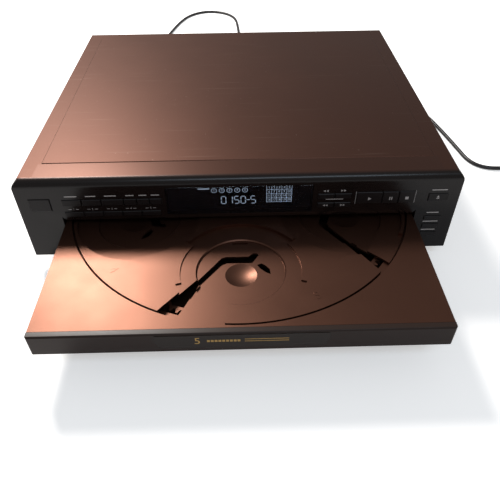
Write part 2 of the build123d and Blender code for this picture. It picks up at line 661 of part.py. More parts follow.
def table_motor():
    x, y = table_pinion_place()
    can = post(x, y, MOTOR_RADIUS, TRAY_BOTTOM + 0.3, TABLE_GEAR_Z[0] - 1.2)
    can = chamfer(can.faces().sort_by(Axis.Z)[0].edges(), 1.0)
    return can - post(x, y, 1.0 + RUNNING_FIT, TABLE_GEAR_Z[0] - 5, TABLE_GEAR_Z[0])


def table_pinion():
    """The pinion on the motor's shaft, in mesh with the ring of teeth under the carousel."""
    x, y = table_pinion_place()
    turn = PINION_DIRECTION + 180.0 + 180.0 / TABLE_PINION_TEETH
    wheel = Pos(x, y, 0) * gear(TABLE_PINION_TEETH, turn, TABLE_GEAR_Z[0] - 0.3, TABLE_GEAR_Z[1] + 0.5)
    return wheel + post(x, y, 1.0, TABLE_GEAR_Z[0] - 4.5, TABLE_GEAR_Z[0])


def table_cap():
    """The cap on the tray's post that keeps the carousel down."""
    cap = post(0, TABLE_CENTRE, 9.0, TABLE_TOP - 1.0, TABLE_TOP + 0.6)
    return chamfer(cap.faces().sort_by(Axis.Z)[-1].edges(), 0.4)


# ---------------------------------------------------------------- carousel

def polar(radius, angle):
    return radius * cos(radians(angle)), radius * sin(radians(angle))


def disc_place(index):
    """Moves something drawn round a disc's centre at the front to one of the disc positions."""
    return Pos(0, TABLE_CENTRE, 0) * Rot(0, 0, index * DISC_STEP) * Pos(0, -DISC_RING, 0)


def lifter_slot(z0, z1):
    """The bent slot that a lifting arm uses, from the rim to beside the disc's centre."""
    reach = TABLE_RADIUS + 6
    down = DISC_RING - sqrt(reach ** 2 - 75 ** 2)
    outline = [(-75.0, down), (-38.0, -9.2), (-18.0, 17.8), (-14.0, 19.3), (7.5, 19.3),
               (11.5, 23.6), (15.5, 23.6), (17.0, 21.0), (10.5, 10.4), (-13.0, 10.8),
               (-18.0, 7.8), (-37.0, -17.2), (-50.0, -45.1), (-58.5, down - 8)]
    return slab(outline, z0, z1)


# The low floor beside the lifter slot, from the large cup out to the rim, and the flat that
# widens the small cup towards the slot, both seen from a disc's centre.
RUN_OUT = [(-46.0, -36.0), (-14.0, -50.0), (-14.0, -80.0), (-66.0, -80.0), (-59.0, -52.0)]
FAN = [(-36.0, -17.0), (0.0, -39.0), (0.0, -SMALL_RADIUS + 0.02), (-18.0, -38.6),
       (-34.0, -36.0), (-46.0, -33.0)]


def disc_floors():
    """What the deck needs under the two flats beside the slot, with a wall round each."""
    def under(points, floor):
        outline = offset(make_face(Polyline(*points, close=True)), TABLE_WALL, kind=Kind.INTERSECTION)
        low = floor - TABLE_WALL
        return extrude(Pos(0, 0, low) * outline, TABLE_TOP - low)

    deck = post(0, DISC_RING, TABLE_RADIUS - 0.5, 0, TABLE_TOP)
    run_out = under(RUN_OUT, TABLE_TOP - LARGE_DEPTH) & deck
    return run_out + under(FAN, TABLE_TOP - SMALL_DEPTH)


def disc_cuts(index):
    """What one disc position takes out of the table."""
    place = disc_place(index)
    top = TABLE_TOP
    over = top + 1
    cuts = post(0, 0, LARGE_RADIUS, top - LEDGE_DEPTH, over)
    low = post(0, 0, LARGE_RADIUS, top - LARGE_DEPTH, over)
    ledge_back = 90.0 - (180.0 - DISC_STEP) / 2
    for side in (1, -1):
        wedge = [(0, 0)] + [(side * x, y) for x, y in (polar(90, ledge_back), polar(105, 10),
                                                       polar(90, LEDGE_FRONT_ANGLE))]
        low -= slab(wedge, top - LARGE_DEPTH - 1, over) - post(0, 0, LEDGE_RADIUS, 0, over + 1)
    cuts += low
    cuts += slab(RUN_OUT, top - LARGE_DEPTH, over)
    small = post(0, 0, SMALL_RADIUS, top - SMALL_DEPTH, over)
    small += slab(FAN, top - SMALL_DEPTH, over)
    rim = Pos(0, 0, top - LARGE_DEPTH - SMALL_SLOPE / 2) \
        * Cone(SMALL_RADIUS, SMALL_RADIUS + SMALL_SLOPE, SMALL_SLOPE)
    cuts += small + rim
    ball = (DIMPLE_RADIUS ** 2 + DIMPLE_DEPTH ** 2) / (2 * DIMPLE_DEPTH)
    floor = top - SMALL_DEPTH
    cuts += Pos(0, -DIMPLE_OFFSET, floor - DIMPLE_DEPTH + ball) * Sphere(ball) \
        & post(0, -DIMPLE_OFFSET, DIMPLE_RADIUS + 1, floor - DIMPLE_DEPTH - 1, floor + 0.01)
    return place * cuts


def disc_through_cuts(index):
    z0, z1 = TABLE_GEAR_Z[1] + 0.2, TABLE_TOP + 1
    leaf = [(14.8, 8.0), (19.3, 9.9), (23.3, 6.6), (26.4, 2.2), (27.0, -4.2), (22.4, -1.6), (17.6, 3.4)]
    cuts = lifter_slot(z0, z1) + slab(leaf, z0, z1)
    cuts += span(-7.8, 7.2, 36.2, 38.4, z0, z1)
    return disc_place(index) * cuts


def between_plate(index):
    """The low plate between two neighbouring discs, on the rim's side of their centre line."""
    half = radians(DISC_STEP / 2)
    middle = DISC_RING * cos(half)
    jog = polar(LARGE_RADIUS, LEDGE_FRONT_ANGLE)
    cos_h, sin_h = cos(half), sin(half)
    across = jog[0] * cos_h + (jog[1] - DISC_RING) * sin_h
    out = jog[0] * sin_h - (jog[1] - DISC_RING) * cos_h
    outline = [(-4.0, -middle), (across, -out), (-across, -out), (4.0, -middle)]
    turn = Pos(0, TABLE_CENTRE, 0) * Rot(0, 0, index * DISC_STEP + DISC_STEP / 2)
    return turn, outline


def carousel():
    """The five-disc table: a thin deck with stepped cups, a ring of teeth and a hub under it."""
    top = TABLE_TOP
    table = post(0, TABLE_CENTRE, TABLE_RADIUS, top - TABLE_WALL, top)
    table += tube(0, TABLE_CENTRE, TABLE_RADIUS, TABLE_RADIUS - 1.8, deck_underside(), top)
    ring_root = GEAR_MODULE * (TABLE_TEETH / 2 - 1.2)
    ring_inner = ring_root - GEAR_RING_WALL
    for index in range(DISC_COUNT):
        place = disc_place(index)
        table += place * post(0, 0, LARGE_RADIUS + 1.6, top - LARGE_DEPTH - TABLE_WALL, top)
        table += place * post(0, 0, SMALL_RADIUS + 2, top - SMALL_DEPTH - TABLE_WALL, top)
        table += place * post(0, -DIMPLE_OFFSET, DIMPLE_RADIUS + 1.5,
                              top - SMALL_DEPTH - DIMPLE_DEPTH - 1.2, top)
        table += place * disc_floors()
        turn, outline = between_plate(index)
        table += turn * slab(outline, top - LEDGE_DEPTH - TABLE_WALL, top)
    table += tube(0, TABLE_CENTRE, ring_root + 0.4, ring_inner, TABLE_GEAR_Z[0], top - 1)
    table += post(0, TABLE_CENTRE, HUB_RADIUS, TABLE_GEAR_Z[0] + 2.4, top)
    for index in range(DISC_COUNT):
        turn = Pos(0, TABLE_CENTRE, 0) * Rot(0, 0, (index + 0.5) * DISC_STEP)
        table += turn * span(-1.0, 1.0, -ring_inner - 1, -HUB_RADIUS + 1, TABLE_GEAR_Z[1] + 0.6, top - 1)
    for index in range(DISC_COUNT):
        table -= disc_cuts(index)
        turn, outline = between_plate(index)
        table -= turn * slab(outline, top - LEDGE_DEPTH, top + 1)
    for index in range(DISC_COUNT):
        table -= disc_through_cuts(index)
    table -= post(0, TABLE_CENTRE, HUB_RADIUS - 3, top - 1.4, top + 1)
    table -= post(0, TABLE_CENTRE, PIN_RADIUS + RUNNING_FIT, 0, top + 1)
    teeth = Pos(0, TABLE_CENTRE, 0) * gear(TABLE_TEETH, PINION_DIRECTION, *TABLE_GEAR_Z, fine=False)
    teeth -= post(0, TABLE_CENTRE, ring_inner + 1.0, 0, top)
    return table + teeth


# ---------------------------------------------------------------- player

def player_frame():
    """The bridge over the rear of the closed tray, with the well for the laser pickup."""
    top = BRIDGE_Z + BRIDGE_THICKNESS
    edge = RAIL_X + RAIL_WALL
    bridge = span(-edge, edge, BRIDGE_FRONT, BRIDGE_BACK, BRIDGE_Z, top)
    bridge += span(-edge, edge, BRIDGE_FRONT, BRIDGE_FRONT + 2.5, BRIDGE_Z, top + 4)
    bridge += span(-edge, edge, BRIDGE_BACK - 2.5, BRIDGE_BACK, BRIDGE_Z, top + 4)
    for side in (-1, 1):
        for y in (BRIDGE_FRONT, BRIDGE_BACK - 12):
            x0, x1 = sorted((side * RAIL_X, side * edge))
            bridge += span(x0, x1, y, y + 12, RAIL_TOP, top)
    well = ROD_SPACING / 2 + 5
    bridge -= span(-14, 112, SPINDLE_Y - well, SPINDLE_Y + well, BRIDGE_Z - 1, top + 1)
    bridge += span(-14.5, 14, SPINDLE_Y - well - 1, SPINDLE_Y + well + 1, BRIDGE_Z, top) \
        - post(0, SPINDLE_Y, MOTOR_RADIUS + 0.1, BRIDGE_Z - 1, top + 1)
    for x in (-34.0, 34.0):
        ear = span(x - 2, x + 2, BRIDGE_BACK - 16, BRIDGE_BACK - 2, top - 0.5, 84.0)
        bridge += ear - rod_x(BRIDGE_BACK - 9, 80.0, 2.0 + RUNNING_FIT, x - 4, x + 4)
    for y in (SPINDLE_Y - ROD_SPACING / 2, SPINDLE_Y + ROD_SPACING / 2):
        for x in (13.0, 110.0):
            bridge += span(x - 3, x + 3, y - 4, y + 4, BRIDGE_Z, top + 4)
        bridge -= rod_x(y, top + 1.0, ROD_RADIUS + 0.02, 11, 112)
    return bridge


def guide_rods():
    z = BRIDGE_Z + BRIDGE_THICKNESS + 1.0
    return Compound([rod_x(SPINDLE_Y + side * ROD_SPACING / 2, z, ROD_RADIUS, 11.0, 112.0)
                     for side in (-1, 1)])


def spindle_motor():
    top = BRIDGE_Z + BRIDGE_THICKNESS
    can = post(0, SPINDLE_Y, MOTOR_RADIUS, BRIDGE_Z - 2.5, top)
    can += post(0, SPINDLE_Y, MOTOR_RADIUS + 2, top, top + 0.8)
    return can - post(0, SPINDLE_Y, 1.0 + RUNNING_FIT, BRIDGE_Z, top + 2)


def spindle_turntable():
    """The small platter that the disc is clamped to, with its centring cone."""
    z = BRIDGE_Z + BRIDGE_THICKNESS + 1.4
    table = post(0, SPINDLE_Y, 13.5, z, z + 3.0)
    table += Pos(0, SPINDLE_Y, z + 4.2) * Cone(7.4, 5.0, 2.4)
    return table + post(0, SPINDLE_Y, 1.0, BRIDGE_Z + 1, z + 1)


def optical_pickup():
    """The laser sled: a body that rides on both rods, with its lens in a cup on top."""
    z = BRIDGE_Z + BRIDGE_THICKNESS + 1.0
    reach = ROD_SPACING / 2
    body = span(20, 52, SPINDLE_Y - 14, SPINDLE_Y + 14, BRIDGE_Z - 1.5, z + 1.8)
    for side in (-1, 1):
        y = SPINDLE_Y + side * reach
        y0, y1 = sorted((y + side * 3, SPINDLE_Y + side * 13))
        body += span(24, 48, y0, y1, z - 3, z + 3)
        body -= rod_x(y, z, ROD_RADIUS + RUNNING_FIT, 10, 60)
    body += post(30, SPINDLE_Y, 6.0, z + 1, z + 2.6)
    return body - post(30, SPINDLE_Y, 3.4, z + 1.6, z + 4)


def clamp_arm():
    """The arm that holds the clamp above the disc, on a pin between the bridge's ears."""
    pivot = BRIDGE_BACK - 9
    arm = span(-14, 14, SPINDLE_Y - 16, pivot, 78.2, 81.0)
    arm += span(-30, 30, pivot - 6, pivot + 4, 78.2, 81.0)
    for x in (-13.0, 13.0):
        arm += span(x - 1, x + 1, SPINDLE_Y - 16, pivot, 78.2, 84.0)
    arm += rod_x(pivot, 80.0, 2.0, -36.5, 36.5)
    return arm - post(0, SPINDLE_Y, 7.0, 76, 84)


def clamp_puck():
    puck = post(0, SPINDLE_Y, 14.5, 74.2, 77.4) + post(0, SPINDLE_Y, 6.0, 77.0, 82.2)
    puck += post(0, SPINDLE_Y, 9.5, 81.6, 83.4)
    return puck - post(0, SPINDLE_Y, 8.0, 73.5, 76.0)


# ---------------------------------------------------------------- mains cord

CORD_POINTS = [
    (CORD_X, REAR_FACE + BUSHING_LENGTH, CORD_Z), (CORD_X, 414.0, CORD_Z), (-164.5, 438.0, 34.0),
    (-163.5, 460.0, 14.0), (-162.0, 490.0, 2.6), (-156.0, 545.0, CORD_FLOOR),
    (-146.0, 600.0, CORD_FLOOR), (-133.0, 655.0, CORD_FLOOR), (-119.0, 712.0, CORD_FLOOR),
    (-100.0, 757.0, CORD_FLOOR), (-64.0, 780.0, CORD_FLOOR), (-24.0, 768.0, CORD_FLOOR),
    (-1.0, 733.0, CORD_FLOOR), (3.0, 675.0, CORD_FLOOR), (6.0, 612.0, CORD_FLOOR),
    (24.0, 552.0, CORD_FLOOR), (62.0, 502.0, CORD_FLOOR), (112.0, 462.0, CORD_FLOOR),
    (168.0, 436.0, CORD_FLOOR), (222.0, 408.0, CORD_FLOOR), (262.0, 362.0, CORD_FLOOR),
    (284.0, 308.0, CORD_FLOOR), (295.0, 255.0, CORD_FLOOR), (302.0, 210.0, CORD_FLOOR),
    (306.5, 178.0, CORD_FLOOR), (322.0, 161.5, CORD_FLOOR), (350.0, 160.0, CORD_FLOOR),
    (376.0, 160.0, CORD_FLOOR),
]


def cord_path():
    """The cord's line: straight runs joined by the largest arcs that the runs leave room for."""
    radii = []
    for before, here, after in zip(CORD_POINTS, CORD_POINTS[1:], CORD_POINTS[2:]):
        first = Vector(*here) - Vector(*before)
        second = Vector(*after) - Vector(*here)
        half_turn = radians(first.get_angle(second)) / 2
        radii.append(0.45 * min(first.length, second.length) / tan(half_turn))
    print("cord bend radii:", " ".join(f"{r:.0f}" for r in radii))
    return FilletPolyline(*CORD_POINTS, radius=radii)


def power_cord():
    path = cord_path()
    start = Plane(origin=path @ 0, z_dir=path % 0)
    cord = sweep(start * Circle(CORD_DIAMETER / 2), path=path)
    area = pi * (CORD_DIAMETER / 2) ** 2
    print(f"cord length {path.length:.0f} mm, volume over section times length "
          f"{cord.volume / (area * path.length):.4f}")
    return cord


def coil_path():
    """Two layers of turns: inwards on the shelf, up a layer in half a turn, outwards again, and
    a quarter turn away to the plug."""
    end = Vector(*CORD_POINTS[-1])
    x, y = end.X + CORD_DIAMETER, end.Y
    low, high = CORD_FLOOR, CORD_FLOOR + COIL_LAYER
    edges = [Line((end.X, y, low), (x, y, low))]
    way = -1
    for i in range(3):
        r = COIL_RADIUS - COIL_PITCH / 2 * i
        edges.append(half_turn(x, y, low, r, way))
        y, way = y + 2 * r * way, -way
    r = COIL_RADIUS - COIL_PITCH / 2 * 3
    crest = Vector(x - sqrt(r * r + COIL_LAYER ** 2 / 4), y + r, low + COIL_LAYER / 2)
    edges.append(TangentArc((Vector(x, y, low), crest), tangent=(-1, 0, 0)))
    edges.append(TangentArc((crest, Vector(x, y + 2 * r, high)), tangent=edges[-1] % 1))
    y, way = y + 2 * r, -way
    for i in (2, 1, 0):
        r = COIL_RADIUS - COIL_PITCH / 2 * i
        edges.append(half_turn(x, y, high, r, way))
        y, way = y + 2 * r * way, -way
    edges.append(TangentArc(((x, y, high), (x - PLUG_TURN, y - PLUG_TURN, high)), tangent=(-1, 0, 0)))
    x, y = x - PLUG_TURN, y - PLUG_TURN
    edges.append(Line((x, y, high), (x, y - CORD_DIAMETER, high)))
    return edges


def half_turn(x, y, z, radius, way):
    """Half a turn clockwise: down the right side, or up the left side."""
    return ThreePointArc((x, y, z), (x - radius * way, y + radius * way, z), (x, y + 2 * radius * way, z))


def least_gap(path, steps=600):
    """The least space between the tube and itself, measured on points along its line."""
    points = [path.position_at(i / steps) for i in range(steps + 1)]
    apart = path.length / steps
    skip = int(pi * CORD_DIAMETER / apart)
    least = min((points[i] - points[j]).length for i in range(0, steps, 2)
                for j in range(i + skip, steps + 1))
    return least - CORD_DIAMETER


def cord_coil():
    path = Wire(coil_path())
    start = Plane(origin=path @ 0, z_dir=path % 0)
    coil = sweep(start * Circle(CORD_DIAMETER / 2), path=path)
    area = pi * (CORD_DIAMETER / 2) ** 2
    print(f"coil length {path.length:.0f} mm, least gap {least_gap(path):.2f} mm, volume ratio "
          f"{coil.volume / (area * path.length):.4f}")
    return coil


def plug():
    """A flat two-pin plug lying beside the coil, on the same shelf."""
    end = coil_path()[-1] @ 1
    half = end.Z - 0.05
    body = span(end.X - PLUG_WIDTH / 2, end.X + PLUG_WIDTH / 2, end.Y - PLUG_LENGTH, end.Y - 9,
                end.Z - half, end.Z + half)
    body = chamfer(body.edges().filter_by(Axis.Z), 4.0)
    body = chamfer(body.faces().sort_by(Axis.Z)[-1].edges(), 1.5)
    shape = body + Pos(end.X, end.Y - 5, end.Z) * Rot(90, 0, 0) * Cone(CORD_DIAMETER / 2 + 1.0, 6.5, 10)
    for side in (-1, 1):
        back = end.Y - PLUG_LENGTH
        shape += rod_y(end.X + side * 9.0, end.Z, 2.0, back - PIN_LENGTH, back + 0.2)
    return shape


def cord_bushing():
    """The tapered strain relief in the rear panel."""
    taper = Pos(CORD_X, REAR_FACE + 3 + (BUSHING_LENGTH - 3) / 2, CORD_Z) * Rot(-90, 0, 0) \
        * Cone(5.6, CORD_DIAMETER / 2 + 1.0, BUSHING_LENGTH - 3)
    flange = rod_y(CORD_X, CORD_Z, 8.5, REAR_FACE, REAR_FACE + 3.2)
    return taper + flange + rod_y(CORD_X, CORD_Z, 6.0, REAR_FACE - 4, REAR_FACE + 0.5)


def main():
    os.makedirs("parts", exist_ok=True)
    makers = [base_chassis, rear_panel, top_cover, front_panel, display_window, display_tube,
              display_board, main_board, power_transformer, output_jacks, optical_output,
              cord_bushing, feet, cover_screws, loading_frame, player_frame, guide_rods,
              spindle_motor, spindle_turntable, optical_pickup, clamp_arm, clamp_puck,
              loading_motor, loading_belt, loading_gear, motor_pulley, tray, tray_front,
              tray_front_plate, table_motor, table_pinion, table_cap, carousel, power_cord,
              cord_coil, plug]
    for maker in makers:
        save(maker.__name__, maker())
    for middle, height, keys in key_rows():
        for name, x0, x1 in keys:
            save(name, key(x0, x1, middle, height))


main()
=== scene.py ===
"""Five-disc carousel CD changer with its tray out: finishes, prints, display and mains lead.

Metres, in the frame of the construction: X to the right, Y to the back, Z up from the shelf.
Each section makes one piece, or one group of like pieces, in the order the changer goes together.
"""

from math import cos, pi, radians, sin

import bpy
from mathutils import Matrix, Vector


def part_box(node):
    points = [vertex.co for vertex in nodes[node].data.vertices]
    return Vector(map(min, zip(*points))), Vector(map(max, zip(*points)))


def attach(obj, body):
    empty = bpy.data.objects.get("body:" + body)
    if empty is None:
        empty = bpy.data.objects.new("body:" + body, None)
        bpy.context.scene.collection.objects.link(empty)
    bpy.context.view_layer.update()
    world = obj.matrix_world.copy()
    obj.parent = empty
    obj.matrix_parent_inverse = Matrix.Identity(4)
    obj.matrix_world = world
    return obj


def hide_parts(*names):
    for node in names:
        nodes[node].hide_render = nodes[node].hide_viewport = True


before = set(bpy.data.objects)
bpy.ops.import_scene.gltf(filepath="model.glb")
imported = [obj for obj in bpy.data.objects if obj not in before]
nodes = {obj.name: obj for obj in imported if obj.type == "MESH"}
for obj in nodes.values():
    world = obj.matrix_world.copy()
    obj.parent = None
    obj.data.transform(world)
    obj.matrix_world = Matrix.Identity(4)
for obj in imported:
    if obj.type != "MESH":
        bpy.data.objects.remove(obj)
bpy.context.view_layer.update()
PANEL_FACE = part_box("front_panel")[0].y     # the front panel's face, where drawings of the front start
DESIGN_MIDDLE = 0.11665                     # from the origin forward to the panel's face


# ---- Camera -------------------------------------------------------------------------------
# It stands close in front of the changer and looks down on the open tray.
# Place, tilt and lens were solved from the edges of the case, the tray and the disc table.
CAMERA_PLACE = (0.0015, PANEL_FACE - 0.3996, 0.3951)
CAMERA_DOWN = radians(41.41)
CAMERA_RIGHT = radians(0.955)
CAMERA_LEAN = radians(-0.637)

camera = bpy.data.objects.new("camera", bpy.data.cameras.new("camera"))
bpy.context.scene.collection.objects.link(camera)
bpy.context.scene.camera = camera
camera.data.lens = 37.49
camera.data.sensor_width = 36.0
camera.data.shift_x = 0.0034
camera.data.shift_y = -0.0368
camera.data.clip_start = 0.02
camera.matrix_world = (Matrix.Translation(CAMERA_PLACE)
                       @ Matrix.Rotation(-CAMERA_RIGHT, 4, "Z")
                       @ Matrix.Rotation(pi / 2 - CAMERA_DOWN, 4, "X")
                       @ Matrix.Rotation(CAMERA_LEAN, 4, "Z"))


# ---- Finishes: how a material is written --------------------------------------------------
# Every finish below is a small tree of nodes round one Principled surface. Arithmetic on a
# Socket adds the Math nodes, and Finish.node adds any other node.
def shade(red, green, blue):
    """A colour as a paint chart gives it, 0 to 255, turned into the linear light a shader wants."""
    linear = [((c / 255 + 0.055) / 1.055) ** 2.4 if c > 10 else c / 255 / 12.92
              for c in (red, green, blue)]
    return (*linear, 1.0)


class Socket:
    """One output of a node. Each +, -, *, **, < or > on it adds a Math node."""

    def __init__(self, finish, link):
        self.finish, self.link = finish, link

    def maths(self, operation, *values):
        made = self.finish.node("ShaderNodeMath", {"operation": operation}, dict(enumerate(values)))
        return made["Value"]

    def __add__(self, other):
        return self.maths("ADD", self, other)

    def __sub__(self, other):
        return self.maths("SUBTRACT", self, other)

    def __rsub__(self, other):
        return self.maths("SUBTRACT", other, self)

    def __mul__(self, other):
        return self.maths("MULTIPLY", self, other)

    def __pow__(self, other):
        return self.maths("POWER", self, other)

    def __gt__(self, other):
        return self.maths("GREATER_THAN", self, other)

    def __lt__(self, other):
        return self.maths("LESS_THAN", self, other)

    __radd__ = __add__

    def clamped(self):
        return self.maths("MINIMUM", self.maths("MAXIMUM", self, 0.0), 1.0)

    def between(self, low, high):
        """0 below low, 1 above high and a smooth step between them."""
        sockets = {"Value": self, "From Min": low, "From Max": high}
        return self.finish.node("ShaderNodeMapRange", {"interpolation_type": "SMOOTHSTEP"}, sockets)["Result"]


class Finish:
    """A material. Constants go on its surface's own sockets through put()."""

    def __init__(self, name, colour, roughness, metallic=0.0, **constants):
        self.material = bpy.data.materials.new(name)
        self.material.use_nodes = True
        self.tree = self.material.node_tree
        self.surface = self.tree.nodes["Principled BSDF"]
        self.put("Base Color", colour)
        self.put("Roughness", roughness)
        self.put("Metallic", metallic)
        for socket, value in constants.items():
            self.put(socket.replace("_", " ").title().replace("Ior", "IOR"), value)

    def put(self, socket, value):
        self.plug(self.surface.inputs[socket], value)

    def plug(self, socket, value):
        if isinstance(value, Socket):
            self.tree.links.new(value.link, socket)
        else:
            socket.default_value = value

    def node(self, kind, settings, sockets):
        made = self.tree.nodes.new(kind)
        for name, value in settings.items():
            setattr(made, name, value)
        for name, value in sockets.items():
            self.plug(made.inputs[name], value)
        return {s.name: Socket(self, s) for s in made.outputs if s.enabled}

    def place(self, scale=(1, 1, 1), turn=(0, 0, 0)):
        """Object coordinates in metres, scaled and then turned."""
        raw = self.node("ShaderNodeTexCoord", {}, {})["Object"]
        sockets = {"Vector": raw, "Scale": scale, "Rotation": turn}
        return self.node("ShaderNodeMapping", {}, sockets)["Vector"]

    def axes(self):
        parts = self.node("ShaderNodeSeparateXYZ", {}, {"Vector": self.place()})
        return parts["X"], parts["Y"], parts["Z"]

    def noise(self, where, scale, detail=3.0):
        sockets = {"Vector": where, "Scale": scale, "Detail": detail, "Roughness": 0.5}
        return self.node("ShaderNodeTexNoise", {}, sockets)["Fac"]

    def mix(self, share, first, second):
        """first where share is 0 and second where it is 1."""
        made = self.tree.nodes.new("ShaderNodeMix")
        made.data_type = "RGBA"
        for index, value in ((0, share), (6, first), (7, second)):     # 6 and 7 are its two colours
            self.plug(made.inputs[index], value)
        return Socket(self, made.outputs[2])

    def bump(self, height, strength, distance):
        sockets = {"Height": height, "Strength": strength, "Distance": distance}
        self.put("Normal", self.node("ShaderNodeBump", {}, sockets)["Normal"])

    def on(self, *pieces):
        """Puts this finish on pieces, or on the construction's nodes of those names."""
        for piece in pieces:
            piece = nodes[piece] if isinstance(piece, str) else piece
            piece.data.materials.clear()
            piece.data.materials.append(self.material)


# ---- Works inside the case ----------------------------------------------------------------
# Zinc-plated chassis and motors, black moulded frames, white acetal gears, ground rods, paper
# laminate boards and a varnished transformer. Little of it shows past the open tray.
zinc = Finish("zinc_plate", shade(172, 172, 166), 0.4, 0.9)
zinc.on("base_chassis", "spindle_motor", "loading_motor", "table_motor")
moulded = Finish("black_moulding", shade(34, 33, 33), 0.5)
moulded.on("loading_frame", "player_frame", "optical_output", "spindle_turntable", "clamp_arm",
           "clamp_puck", "optical_pickup", "loading_belt", "display_board")
acetal = Finish("white_acetal", shade(226, 223, 214), 0.4)
acetal.on("table_pinion", "loading_gear", "motor_pulley")
ground = Finish("ground_rod", shade(196, 196, 198), 0.15, 1.0)
ground.on("guide_rods")
laminate = Finish("paper_laminate", shade(142, 112, 62), 0.55)
laminate.on("main_board")
varnish = Finish("varnished_iron", shade(74, 62, 54), 0.5, 0.4)
varnish.on("power_transformer")


# ---- Disc tray ----------------------------------------------------------------------------
# One deep black ABS moulding with a fine spark-eroded grain. Its brown, nearly metallic colour is
# painted warm sheen: it tints the lamps' reflection brown. The tray's front and its plate have
# their edges broken by a small round, which catches the light along the steps.
def nothing_selected():
    bpy.ops.object.select_all(action="DESELECT")


def broken_edges(name, body, width):
    """A copy of a node whose sharp edges have a small round, which stands for the node."""
    nothing_selected()
    piece = bpy.data.objects.new(name + "_rounded", nodes[name].data.copy())
    bpy.context.scene.collection.objects.link(piece)
    bpy.context.view_layer.objects.active = piece
    piece.select_set(True)
    bpy.ops.object.mode_set(mode="EDIT")
    bpy.ops.mesh.select_all(action="SELECT")
    bpy.ops.mesh.remove_doubles(threshold=0.000002)
    bpy.ops.mesh.dissolve_limited(angle_limit=radians(0.6))
    bpy.ops.mesh.normals_make_consistent(inside=False)
    bpy.ops.object.mode_set(mode="OBJECT")
    edges = piece.modifiers.new("edges", "BEVEL")
    edges.limit_method = "ANGLE"
    edges.angle_limit = radians(40)
    edges.width = width
    edges.segments = 2
    bpy.ops.object.modifier_apply(modifier="edges")
    bpy.ops.object.shade_smooth_by_angle(angle=radians(35))
    flats = piece.modifiers.new("flats", "WEIGHTED_NORMAL")
    flats.weight = 100
    flats.keep_sharp = True
    bpy.ops.object.modifier_apply(modifier="flats")
    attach(piece, body)
    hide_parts(name)
    return piece


# painted warm sheen: a brown base colour with high metallic makes the lamps' reflection on the black tray and
# table brown
painted_sheen_finish = Finish("painted_sheen_grain", shade(92, 62, 50), 0.4, 0.88, specular_ior_level=0.3)
painted_sheen_grain = painted_sheen_finish.noise(painted_sheen_finish.place(), 1300.0, 3.0)
painted_sheen_wear = painted_sheen_finish.noise(painted_sheen_finish.place(), 38.0, 4.0)
painted_sheen_finish.put("Roughness", 0.29 + painted_sheen_grain * 0.09 + painted_sheen_wear * 0.07)
painted_sheen_finish.bump(painted_sheen_grain, 0.3, 0.00012)
painted_sheen_finish.on("tray", "carousel")

tray_black = Finish("tray_front_satin", shade(44, 32, 27), 0.34, specular_ior_level=0.25)
tray_black.put("Roughness", 0.3 + tray_black.noise(tray_black.place(), 900.0) * 0.12)
tray_black.on(broken_edges("tray_front", "tray", 0.0007))

# A glued plate in the middle of the tray's front carries plain gilt marks: the number of discs,
# a row of dashes and two fine lines. Its face lies a little back, so that they are let into it.
FACE_DEPTH = 0.0004
FACE_BACK = 0.0001
plate = broken_edges("tray_front_plate", "tray", 0.00025)
plate_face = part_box("tray_front_plate")[0].y
for corner in plate.data.vertices:
    if corner.co.y < plate_face + FACE_DEPTH:
        corner.co.y += FACE_BACK
plate_black = Finish("plate_gloss", shade(46, 38, 33), 0.2, specular_ior_level=0.3)
plate_black.on(plate)


def row_place(x, y, z):
    """A point of the drawings, in millimetres with y = 0 on the panel's face, in the frame."""
    return Vector((x / 1000, y / 1000 - DESIGN_MIDDLE, z / 1000))


def bar(x, y, z, width, height):
    """A flat oblong that faces forward."""
    bpy.ops.mesh.primitive_plane_add(size=0.001, location=row_place(x, y, z), rotation=(pi / 2, 0, 0))
    bpy.context.object.scale = (width, height, 1)
    return bpy.context.object


def arrow(x, y, z, radius, turn):
    """A flat triangle that faces forward; it points up, and turn points it to a side."""
    bpy.ops.mesh.primitive_circle_add(vertices=3, radius=radius / 1000, fill_type="NGON",
                                      location=row_place(x, y, z), rotation=(pi / 2, turn, 0))
    return bpy.context.object


TEXT_SIZE = 1.4                             # a text's size over the height of its figures


def figure(text, x, y, z, height, turn=(pi / 2, 0, 0), thick=0.0):
    """A plain number, in metres and as a mesh, standing on the front unless it is turned."""
    bpy.ops.object.text_add(location=row_place(x, y, z), rotation=turn)
    made = bpy.context.object
    made.data.body = text
    made.data.size = height / 1000 * TEXT_SIZE
    made.data.extrude = thick / 1000
    made.data.align_x = "CENTER"
    made.data.align_y = "CENTER"
    made.data.resolution_u = 6
    bpy.ops.object.convert(target="MESH")
    return bpy.context.object


def printed(name, marks, finish, body):
    """Joins marks to one piece with its place in its mesh."""
    nothing_selected()
    for mark in marks:
        mark.select_set(True)
    bpy.context.view_layer.objects.active = marks[0]
    bpy.ops.object.transform_apply(location=True, rotation=True, scale=True)
    bpy.ops.object.join()
    made = bpy.context.object
    made.name = name
    finish.on(made)
    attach(made, body)


GILT_Y = -141.27
GILT_Z = 50.0
DASH_PITCH = 3.1
gilt = Finish("gilt_print", shade(186, 148, 84), 0.4, 0.5)
gilt_marks = [figure("5", -36.5, GILT_Y, GILT_Z, 8.0)]
gilt_marks += [bar(-27.5 + i * DASH_PITCH, GILT_Y, GILT_Z, 2.3, 2.6) for i in range(9)]
gilt_marks += [bar(20.0, GILT_Y, z, 36.0, 0.8) for z in (51.6, 49.0)]
printed("plate_marks", gilt_marks, gilt, "tray")
